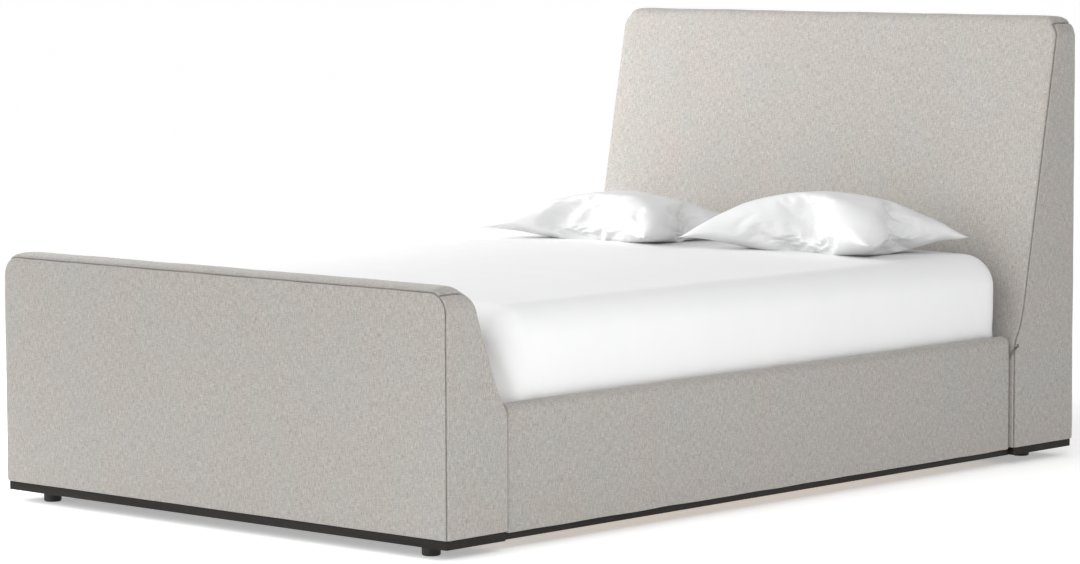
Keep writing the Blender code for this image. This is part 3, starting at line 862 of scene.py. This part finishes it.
def makeRailCover(side, sign):
    look = railLook
    low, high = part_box(f"rail_cover_{side}")
    boardLow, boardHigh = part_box(f"rail_board_{side}")
    outside = max(abs(low.x), abs(high.x))
    inside = min(abs(low.x), abs(high.x))
    boardOut = max(abs(boardLow.x), abs(boardHigh.x)) + 0.0006
    boardIn = min(abs(boardLow.x), abs(boardHigh.x)) - 0.0006
    top, bottom, boardTop = high.z, low.z, boardHigh.z + 0.0006
    hem, outer, inner = look["hemRound"], look["outerRound"], look["innerRound"]
    upright = [(outside, z) for z in np.linspace(bottom + hem, top - outer, 16)]
    skin = np.vstack((
        [(boardOut + 0.001, bottom)],
        arcPoints((outside - hem, bottom + hem), hem, -90, 0, 4)[:-1],
        upright,
        arcPoints((outside - outer, top - outer), outer, 0, 90, 8)[1:],
        arcPoints((inside + inner, top - inner), inner, 90, 180, 5),
        [(inside, z) for z in (top - inner - 0.012, top - inner - 0.026, look["foldBottom"])],
    ))
    lining = np.array([
        (boardIn, look["foldBottom"]), (boardIn, boardTop - 0.010), (boardIn, boardTop), (boardOut, boardTop),
        (boardOut, boardTop - 0.010), (boardOut, 0.5 * (top + bottom)), (boardOut, bottom + 0.010),
        (boardOut, bottom + 0.0005),
    ])
    length = high.y - low.y
    y = low.y + spaced(length, 0.024, (0.0, 0.0015, 0.0032, 0.0052, 0.0078, 0.0115, 0.017))
    steps = np.concatenate(([0], np.cumsum(np.linalg.norm(np.diff(skin, axis=0), axis=1))))
    middle = np.array((0.5 * (outside + inside), 0.5 * (top + bottom)))
    shape = bmesh.new()
    weave = shape.loops.layers.uv.new("weave")
    rings = []
    tangent = np.gradient(skin, axis=0)
    normal = unit(np.stack((tangent[:, 1], -tangent[:, 0]), axis=1))
    for station in y:
        reach = min(station - low.y, high.y - station)
        spot = np.stack((skin[:, 0], np.full(len(skin), station), skin[:, 1]), axis=1)
        swell = look["belly"] * np.sin(np.pi * np.clip((skin[:, 1] - bottom) / (top - bottom), 0, 1))
        wave = look["wave"] * ripple(spot, 0.16, 31 + int(sign)) * smooth(reach, 0, 0.04)
        swell = swell * smooth(reach, 0.0, 0.08) + wave
        swell = swell * (skin[:, 0] > middle[0])
        radius = look["endRound"]
        pull = radius - math.sqrt(max(radius ** 2 - max(radius - reach, 0.0) ** 2, 0.0))
        pull = pull * 0.8
        ring = skin + normal * (swell - pull)[:, None]
        ring[-1] = skin[-1]
        shift = look["endGap"] * (1 - smooth(reach, 0.0, 0.02)) * (1 if station < 0 else -1)
        section = np.vstack((ring, lining))
        rings.append([shape.verts.new((sign * p[0], station + shift, p[1])) for p in section])
    count, skinCount = len(rings[0]), len(skin)
    for index in range(len(rings) - 1):
        for k in range(count):
            n = (k + 1) % count
            corners = ((index, k), (index, n), (index + 1, n), (index + 1, k))
            face = shape.faces.new([rings[row][point] for row, point in corners])
            for loop, (row, point) in zip(face.loops, corners):
                v = steps[point] if point < skinCount else steps[-1]
                loop[weave].uv = (y[row] + 11.0 + 2 * sign, v)
    for ring in (rings[0], rings[-1]):
        face = shape.faces.new(ring)
        for loop in face.loops:
            loop[weave].uv = (loop.vert.co.x + 15.0, loop.vert.co.z)
    mesh = meshOf(f"rail_cover_soft_{side}", shape, solid=True)
    # the seam mark runs wider at the rail's ends, so the linen paints shadow where the rail meets the boards
    reach = np.abs(np.abs(points3(mesh)[:, 1] - 0.5 * (low.y + high.y)) - 0.5 * length) - look["endGap"]
    markSeams(mesh, np.maximum(reach, 0.0) * 0.45)
    addPiece(mesh.name, mesh, linen, "bed_frame", [f"rail_cover_{side}"])
    mesh.set_sharp_from_angle(angle=math.radians(50))


for side, sign in (("left", -1), ("right", 1)):
    makeRailCover(side, sign)
print("rails covered")


# ---- Mattress and fitted sheet ----

beddingLook = {
    "halfWidth": 0.7670, "waist": 0.7605, "edge": 0.085, "bottomEdge": 0.022, "crown": 0.007, "top": 0.5915,
    "headY": 1.0215, "waistHeadY": 1.0035, "footY": -1.0330, "hem": 0.298, "sheetThick": 0.0012,
    "acrossCells": 62, "alongCells": 84, "cornerCells": 12, "coreInset": -0.0022, "sheetOffset": 0.0008,
    "queen": (1.52, 2.03), "drop": 0.31,
}


def bedProfile(look, offset, bottom, closed):
    # steps of (inset, drop) from the edge of the flat top, over the edge and down the side
    edge, small = look["edge"] + offset, look["bottomEdge"]
    turns = np.linspace(0, math.pi / 2, 13)
    steps = [(edge * (1 - math.sin(a)), edge * (1 - math.cos(a))) for a in turns]
    total = look["top"] + offset - bottom
    last = total - small if closed else total
    steps += [(0.0, d) for d in np.linspace(edge, last, 13)[1:]]
    if closed:
        turns = np.linspace(0, math.pi / 2, 7)[1:]
        steps += [(small * (1 - math.cos(a)), last + small * math.sin(a)) for a in turns]
    return steps


def bedOutline(look, offset):
    # places round the bed at full width, the direction outwards at each, and the grid of its flat top
    radius = look["edge"] + offset
    y0, y1 = look["footY"] - offset, look["headY"] + offset
    centre = np.array((0.0, 0.5 * (y0 + y1)))
    straightX, straightY = look["halfWidth"] + offset - radius, 0.5 * (y1 - y0) - radius
    across = np.linspace(-straightX, straightX, look["acrossCells"] + 1)
    lengthwise = np.linspace(-straightY, straightY, look["alongCells"] + 1)
    turns = np.linspace(0, math.pi / 2, look["cornerCells"] + 1)[1:-1]
    half = np.array(
        [(x, -straightY, 0, -1) for x in across]
        + [(straightX, -straightY, math.sin(a), -math.cos(a)) for a in turns]
        + [(straightX, y, 1, 0) for y in lengthwise]
        + [(straightX, straightY, math.cos(a), math.sin(a)) for a in turns]
    )
    outline = np.vstack((half, -half))
    flat = np.stack(np.meshgrid(across, lengthwise), axis=-1) + centre
    return outline[:, :2] + centre, outline[:, 2:], radius, flat


def beddingPoints(look, plan, drops, extra):
    # plan positions and their drop below the top, made soft: crowned, and drawn in between the rails
    points = np.zeros((*plan.shape[:-1], 3))
    points[..., :2] = plan
    shareX = np.clip(np.abs(plan[..., 0]) / look["halfWidth"], 0, 1)
    middleY = 0.5 * (look["headY"] + look["footY"])
    shareY = np.clip(np.abs(plan[..., 1] - middleY) / (0.5 * (look["headY"] - look["footY"])), 0, 1)
    crown = look["crown"] * (1 - shareX ** 2.4) * (1 - shareY ** 4)
    points[..., 2] = look["top"] + extra + crown - drops
    low = 1 - smooth(points[..., 2], 0.352, 0.385)
    limit = look["waist"] + extra
    x = points[..., 0]
    points[..., 0] = np.where(np.abs(x) > limit, np.sign(x) * (limit + (np.abs(x) - limit) * (1 - low)), x)
    head = look["waistHeadY"] + extra
    y = points[..., 1]
    points[..., 1] = np.where(y > head, head + (y - head) * (1 - low), y)
    return points


def bedFolds(look, points, outwards, drop):
    # a fitted sheet pulls at its corners: slanting folds there, and a gathered hem
    middleY = 0.5 * (look["headY"] + look["footY"])
    fromCorner = np.hypot(
        np.abs(points[:, 0]) - look["halfWidth"],
        np.abs(points[:, 1] - middleY) - 0.5 * (look["headY"] - look["footY"]),
    )
    side = smooth(drop, 0.02, 0.11)
    phase = (points[:, 0] + points[:, 1]) * 62 + points[:, 2] * 38
    pull = 0.0016 * np.sin(phase + 2 * ripple(points, 0.2, 47)) * np.exp(-fromCorner / 0.16) * side
    slack = 0.0011 * ripple(points * (1.0, 1.0, 0.30), 0.13, 43) * side
    hem = smooth(look["hem"] + 0.05 - points[:, 2], 0.0, 0.05)
    gathers = 0.0012 * np.sin((points[:, 0] + points[:, 1]) * 210 + 3 * ripple(points, 0.1, 51)) * hem
    moved = points.copy()
    moved[:, :2] += outwards * (pull + slack + gathers - 0.0012 * hem)[:, None]
    moved[:, 2] += 0.0009 * ripple(points, 0.42, 41) * (1 - side)
    return moved


def bedShell(name, look, offset, bottom, closed):
    place, outwards, radius, flat = bedOutline(look, offset)
    shape = bmesh.new()
    count = len(place)

    def soften(plan, drops, outward):
        points = beddingPoints(look, plan, drops, offset)
        return points if closed else bedFolds(look, points, outward, drops)

    rings = []
    for inset, drop in bedProfile(look, offset, bottom, closed):
        plan = place + outwards * (radius - inset)
        points = soften(plan, np.full(count, drop), outwards)
        rings.append([shape.verts.new(p) for p in points])
    for upper, lower in zip(rings, rings[1:]):
        bridge(shape, upper, lower)
    if closed:
        shape.faces.new(rings[-1])
    rows, columns = flat.shape[:2]
    level = flat.reshape(-1, 2)
    spots = soften(level, np.zeros(len(level)), np.zeros_like(level)).reshape(rows, columns, 3)
    grid = [[shape.verts.new(spots[r, c]) for c in range(columns)] for r in range(rows)]
    for r in range(rows - 1):
        for c in range(columns - 1):
            shape.faces.new((grid[r][c], grid[r][c + 1], grid[r + 1][c + 1], grid[r + 1][c]))
    bmesh.ops.remove_doubles(shape, verts=shape.verts, dist=1e-5)
    return meshOf(name, shape)


mattressLow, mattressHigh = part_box("mattress")
coreMesh = bedShell("mattress_core", beddingLook, beddingLook["coreInset"], mattressLow.z, True)
mattressPiece = addPiece("mattress_core", coreMesh, ticking, "made_mattress", ["mattress"])
coreMesh.set_sharp_from_angle(angle=math.radians(60))

tapeLook = {"radius": 0.0042, "step": 0.012}


def makeTape(look, bedLook, height):
    # a bound edge sewn round the bottom of the mattress, following its outline
    place, outwards, _, _ = bedOutline(bedLook, bedLook["coreInset"])
    plan = beddingPoints(bedLook, place, np.full(len(place), bedLook["top"] - height), 0.0)
    plan[:, :2] += outwards * -0.0012
    path = Repeat("mattressTape", {"Tape radius": "NodeSocketFloat", "Step": "NodeSocketFloat"})
    line = path.node("GeometryNodeMeshToCurve", {}, {"Mesh": path.layout})
    spacing = {"Curve": line, "Length": path.given("Step")}
    even = path.node("GeometryNodeResampleCurve", {"mode": "LENGTH"}, spacing)
    size = {"Resolution": 8, "Radius": path.given("Tape radius")}
    ring = path.node("GeometryNodeCurvePrimitiveCircle", {}, size)
    tube = path.node("GeometryNodeCurveToMesh", {}, {"Curve": even, "Profile Curve": ring})
    values = {"Tape radius": look["radius"], "Step": look["step"]}
    outline = pointMesh("tapePath", plan, True)
    path.make("mattress_tape", outline, tube, sheetCotton, "made_mattress", values)


makeTape(tapeLook, beddingLook, mattressLow.z + 0.020)

sheetMesh = bedShell("fitted_sheet_cloth", beddingLook, beddingLook["sheetOffset"], beddingLook["hem"], False)
faceOutward(sheetMesh, np.array((0.0, 0.0, 0.4)))
sheetPiece = addPiece(
    "fitted_sheet_cloth", sheetMesh, sheetCotton, "made_mattress", ["fitted_sheet"])
wall = sheetPiece.modifiers.new("cloth", "SOLIDIFY")
wall.thickness, wall.offset = beddingLook["sheetThick"], 1.0
print("mattress and sheet made")


# ---- Pillows ----

pillowLook = {
    "cutLength": 0.745, "cutDepth": 0.525, "spacing": 0.0105, "pressure": 4.5, "frames": 26,
    "seamShare": 0.34, "cornerDroop": 0.25, "seamWave": 0.0035, "seamCrease": 0.75,
    "endTaper": 0.06, "edgeTaper": 0.14, "underside": 1.2, "tuck": 0.030,
}
pillowSpots = {
    "left": {"turn": -1.5, "height": 0.143, "seed": 3},
    "right": {"turn": 2.0, "height": 0.172, "seed": 8},
}


def flatPillow(look, name, seed):
    # two cut rectangles joined round their rim
    columns = round(look["cutLength"] / look["spacing"])
    rows = round(look["cutDepth"] / look["spacing"])
    shape = bmesh.new()
    layers = []
    for face in (1, -1):
        grid = {}
        for i in range(columns + 1):
            for j in range(rows + 1):
                rim = i in (0, columns) or j in (0, rows)
                if rim and face < 0:
                    grid[i, j] = layers[0][i, j]
                    continue
                u, v = 2 * i / columns - 1, 2 * j / rows - 1
                lift = 0.012 * (1 - u * u) ** 0.5 * (1 - v * v) ** 0.5
                spot = np.array([[u, v, face]], float)
                lift += 0.0010 * float(ripple(spot, 0.25, seed)[0]) * (0 if rim else 1)
                spot = (u * look["cutLength"] / 2, v * look["cutDepth"] / 2, face * lift)
                grid[i, j] = shape.verts.new(spot)
        layers.append(grid)
    for grid in layers:
        for i in range(columns):
            for j in range(rows):
                shape.faces.new((grid[i, j], grid[i + 1, j], grid[i + 1, j + 1], grid[i, j + 1]))
    return meshOf(name, shape, solid=True)


def inflate(mesh, look):
    # fills the case by cloth simulation and returns its points
    body = newObject("filling", mesh)
    cloth = body.modifiers.new("cloth", "CLOTH")
    settings = cloth.settings
    settings.quality = 6
    settings.mass = 0.25
    settings.tension_stiffness = settings.compression_stiffness = 18
    settings.shear_stiffness = 12
    settings.bending_stiffness = 0.12
    settings.use_pressure = True
    settings.uniform_pressure_force = look["pressure"]
    settings.effector_weights.gravity = 0
    cloth.collision_settings.use_collision = False
    cloth.point_cache.frame_start, cloth.point_cache.frame_end = 1, look["frames"]
    scene = bpy.context.scene
    for step in range(1, look["frames"] + 1):
        scene.frame_set(step)
    graph = bpy.context.evaluated_depsgraph_get()
    filled = points3(body.evaluated_get(graph).data).copy()
    scene.frame_set(1)
    bpy.data.objects.remove(body)
    return filled


def restPillow(points, rim, look, spot, low, high):
    # sits the filled case on the sheet: its seam low down, flat underneath, its corners drooping
    points = points - 0.5 * (points.max(0) + points.min(0))
    size = points.max(0) - points.min(0)
    target = np.array((high.x - low.x, high.y - low.y)) / size[:2]
    points[:, 0] *= target[0]
    points[:, 1] *= target[1]
    seam = look["seamShare"] * spot["height"]
    up = points[:, 2] > 0
    halfHeight = size[2] / 2
    u, v = points[:, 0] / (0.5 * (high.x - low.x)), points[:, 1] / (0.5 * (high.y - low.y))
    toEnds, toEdges = smooth(np.abs(u), 0.35, 1.0), smooth(np.abs(v), 0.35, 1.0)
    taper = 1 - look["endTaper"] * toEnds - look["edgeTaper"] * toEdges
    upper = points[:, 2] / halfHeight * (spot["height"] - seam) * taper
    lower = np.maximum(points[:, 2] / halfHeight * seam * look["underside"], -seam)
    z = np.where(up, upper, lower)
    corner = smooth(np.abs(u), 0.62, 1.0) * smooth(np.abs(v), 0.55, 1.0)
    z = z - look["cornerDroop"] * seam * corner
    edge = np.exp(-(np.linalg.norm(points[:, None, :2] - points[None, rim, :2], axis=2).min(1) / 0.028) ** 2)
    z = z + look["seamWave"] * ripple(points * (1, 1, 0), 0.085, spot["seed"]) * edge
    z = np.maximum(z, -seam)
    tuck = smooth(u, 0.45, 1.0) * smooth(-v, 0.45, 1.0)
    points[:, 0] -= look["tuck"] * tuck
    points[:, 1] += 0.5 * look["tuck"] * tuck
    angle = math.radians(spot["turn"])
    x = points[:, 0] * math.cos(angle) - points[:, 1] * math.sin(angle)
    y = points[:, 0] * math.sin(angle) + points[:, 1] * math.cos(angle)
    middle = ((low.x + high.x) / 2, (low.y + high.y) / 2)
    return np.stack((x + middle[0], y + middle[1], z + seam + low.z), axis=1)


def makePillow(side):
    node = f"pillow_{side}"
    low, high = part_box(node)
    spot = pillowSpots[side]
    mesh = flatPillow(pillowLook, f"pillow_case_{side}", spot["seed"])
    start = points3(mesh)
    rim = np.abs(start[:, 2]) < 1e-9
    filled = inflate(mesh, pillowLook)
    setPoints(mesh, restPillow(filled, rim, pillowLook, spot, low, high))
    ends = np.zeros(len(mesh.edges) * 2, int)
    mesh.edges.foreach_get("vertices", ends)
    crease = mesh.attributes.new("crease_edge", "FLOAT", "EDGE")
    crease.data.foreach_set("value", rim[ends.reshape(-1, 2)].all(axis=1) * pillowLook["seamCrease"])
    piece = addPiece(mesh.name, mesh, pillowCotton, f"{side}_pillow", [node])
    soften = piece.modifiers.new("soften", "SUBSURF")
    soften.levels = soften.render_levels = 1
    return piece


for side in ("left", "right"):
    makePillow(side)
    print("pillow", side, "made")


# ---- Screws and staples ----

screwLook = {
    "profile": ((0.0011, 0.0004), (0.0014, 0.0016), (0.0030, 0.0015), (0.0041, 0.0007), (0.0043, -0.0006)),
    "sides": 10, "fromEnd": 0.016, "seed": 4,
}
stapleLook = {
    "crown": 0.011, "wire": 0.0006, "crownRise": 0.0004, "legEnd": -0.002, "fromEnd": 0.03,
    "pitch": 0.042, "height": 0.318, "tilt": 0.12, "seed": 6,
}


def scatter(name, spots, template, material, facing, tilt, seed):
    # one copy of the template at every spot, each turned a little differently
    inputs = {
        "Template": "NodeSocketObject", "Facing": "NodeSocketVector", "Tilt": "NodeSocketFloat",
        "Seed": "NodeSocketInt",
    }
    rows = Repeat(name, inputs)
    source = rows.node("GeometryNodeObjectInfo", {}, {"Object": rows.given("Template")}, "Geometry")
    spread = rows.node("ShaderNodeMath", {"operation": "MULTIPLY"}, {0: rows.given("Tilt"), 1: -1.0})
    values = {2: spread, 3: rows.given("Tilt"), "Seed": rows.given("Seed")}
    turn = rows.node("FunctionNodeRandomValue", {"data_type": "FLOAT"}, values, 1)
    spin = rows.node("ShaderNodeCombineXYZ", {}, {"Z": turn})
    first = rows.node("GeometryNodeInstanceOnPoints", {}, {
        "Points": rows.layout, "Instance": source, "Rotation": rows.given("Facing"),
    })
    placed = rows.node("GeometryNodeRotateInstances", {}, {"Instances": first, "Rotation": spin})
    values = {"Template": template, "Facing": facing, "Tilt": tilt, "Seed": seed}
    rows.make(name, pointMesh(name, spots), placed, material, "bed_frame", values)


def stapleShape(look):
    # a flat wire bridge whose two legs go into the board
    half, wire = look["crown"] / 2, look["wire"]
    section = ((-wire, -wire), (wire, -wire), (wire, wire), (-wire, wire))
    rise, end = look["crownRise"], look["legEnd"]
    path = ((-half, end), (-half, rise), (half, rise), (half, end))
    shape = bmesh.new()
    rings = []
    for x, z in path:
        lean = 1 if x < 0 else -1
        slope = 1 if z > 0 else 0
        rings.append([shape.verts.new((x - lean * b, a, z + slope * b)) for a, b in section])
    return closedTube("staple", shape, rings)


screwHead = turned("screwHead", screwLook["profile"], screwLook["sides"])
slatSpots = []
for index in range(1, 12):
    low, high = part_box(f"slat_{index:02d}")
    for x in (low.x + screwLook["fromEnd"], high.x - screwLook["fromEnd"]):
        slatSpots.append((x, 0.5 * (low.y + high.y), high.z))
scatter("slat_screws", slatSpots, screwHead, zinc, (0.0, 0.0, 0.0), math.pi, screwLook["seed"])
staple = stapleShape(stapleLook)
for side, sign in (("left", -1), ("right", 1)):
    low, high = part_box(f"rail_cover_{side}")
    inside = min(abs(low.x), abs(high.x))
    places = np.arange(low.y + stapleLook["fromEnd"], high.y - stapleLook["fromEnd"], stapleLook["pitch"])
    spots = [(sign * inside, y, stapleLook["height"]) for y in places]
    facing = (0.0, -sign * math.pi / 2, 0.0)
    name = f"rail_staples_{side}"
    scatter(name, spots, staple, zinc, facing, stapleLook["tilt"], stapleLook["seed"])
bpy.data.objects.remove(screwHead)
bpy.data.objects.remove(staple)
print("screws and staples placed")

# ---- Timber, steel and plastic ----

shownNodes = {name: node for name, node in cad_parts.items() if not node.hide_render}
for name, node in shownNodes.items():
    node.data.materials.clear()
    node.data.materials.append(next((m for part, m in materialOf.items() if part in name), plyAcross))
print("frame parts dressed:", len(shownNodes))


# ---- Floor, light and camera ----

stageLook = {
    "floorSize": 300.0, "floorGlow": 0.38, "world": 0.50, "sun": 1.15, "sunSoftness": 50.0,
    "sunFrom": (-0.28, -0.84, 0.42),
    "softboxes": {
        "headboardLight": {"from": (-2.9, -0.8, 1.5), "to": (-0.3, 1.1, 0.95), "size": 2.0, "watts": 100.0},
        "frontLight": {"from": (3.6, -1.9, 2.5), "to": (0.8, -0.7, 0.4), "size": 2.0, "watts": 58.0},
    },
}
cameraLook = {
    "position": (7.6845, -8.4505, 1.5888), "forward": (-0.67311, 0.73386, -0.09140), "roll": -0.209,
    "lens": 138.815,
}


def addLight(name, kind, energy, place, backwards):
    light = bpy.data.lights.new(name, kind)
    light.energy = energy
    lamp = newObject(name, light)
    lamp.location = place
    lamp.rotation_mode = "QUATERNION"
    lamp.rotation_quaternion = backwards.to_track_quat("Z", "Y")
    return light


def makeStage(look):
    half = look["floorSize"] / 2
    mesh = bpy.data.meshes.new("floor")
    corners = [(-half, -half, 0), (half, -half, 0), (half, half, 0), (-half, half, 0)]
    mesh.from_pydata(corners, [], [(0, 1, 2, 3)])
    floor = newObject("floor", mesh)
    s = Shader("paleFloor")
    tone = s.noise(s.place(), 1.5, 2.0)
    mesh.materials.append(s.finish({
        "Base Color": s.mix(grey(0.93), grey(0.95), tone), "Roughness": 0.9, "Specular IOR Level": 0.0,
        "Emission Color": grey(1.0), "Emission Strength": look["floorGlow"],
    }))
    world = bpy.data.worlds.new("studio")
    bpy.context.scene.world = world
    world.use_nodes = True
    background = world.node_tree.nodes["Background"]
    background.inputs["Color"].default_value = grey(1.0)
    background.inputs["Strength"].default_value = look["world"]
    sun = addLight("keyLight", "SUN", look["sun"], (0, 0, 0), Vector(look["sunFrom"]))
    sun.angle = math.radians(look["sunSoftness"])
    for name, box in look["softboxes"].items():
        backwards = Vector(box["from"]) - Vector(box["to"])
        addLight(name, "AREA", box["watts"], box["from"], backwards).size = box["size"]
    bpy.context.scene.view_settings.view_transform = "Standard"


def makeCamera(look):
    data = bpy.data.cameras.new("camera")
    data.lens, data.sensor_width, data.sensor_fit = look["lens"], 36.0, "HORIZONTAL"
    data.clip_start, data.clip_end = 0.1, 400.0
    camera = newObject("camera", data)
    forward = Vector(look["forward"]).normalized()
    level = forward.cross(Vector((0, 0, 1))).normalized()
    upright = level.cross(forward)
    roll = math.radians(look["roll"])
    right = level * math.cos(roll) + upright * math.sin(roll)
    up = upright * math.cos(roll) - level * math.sin(roll)
    turn = Matrix((right, up, -forward)).transposed()
    camera.matrix_world = Matrix.Translation(look["position"]) @ turn.to_4x4()
    bpy.context.scene.camera = camera


makeStage(stageLook)
makeCamera(cameraLook)
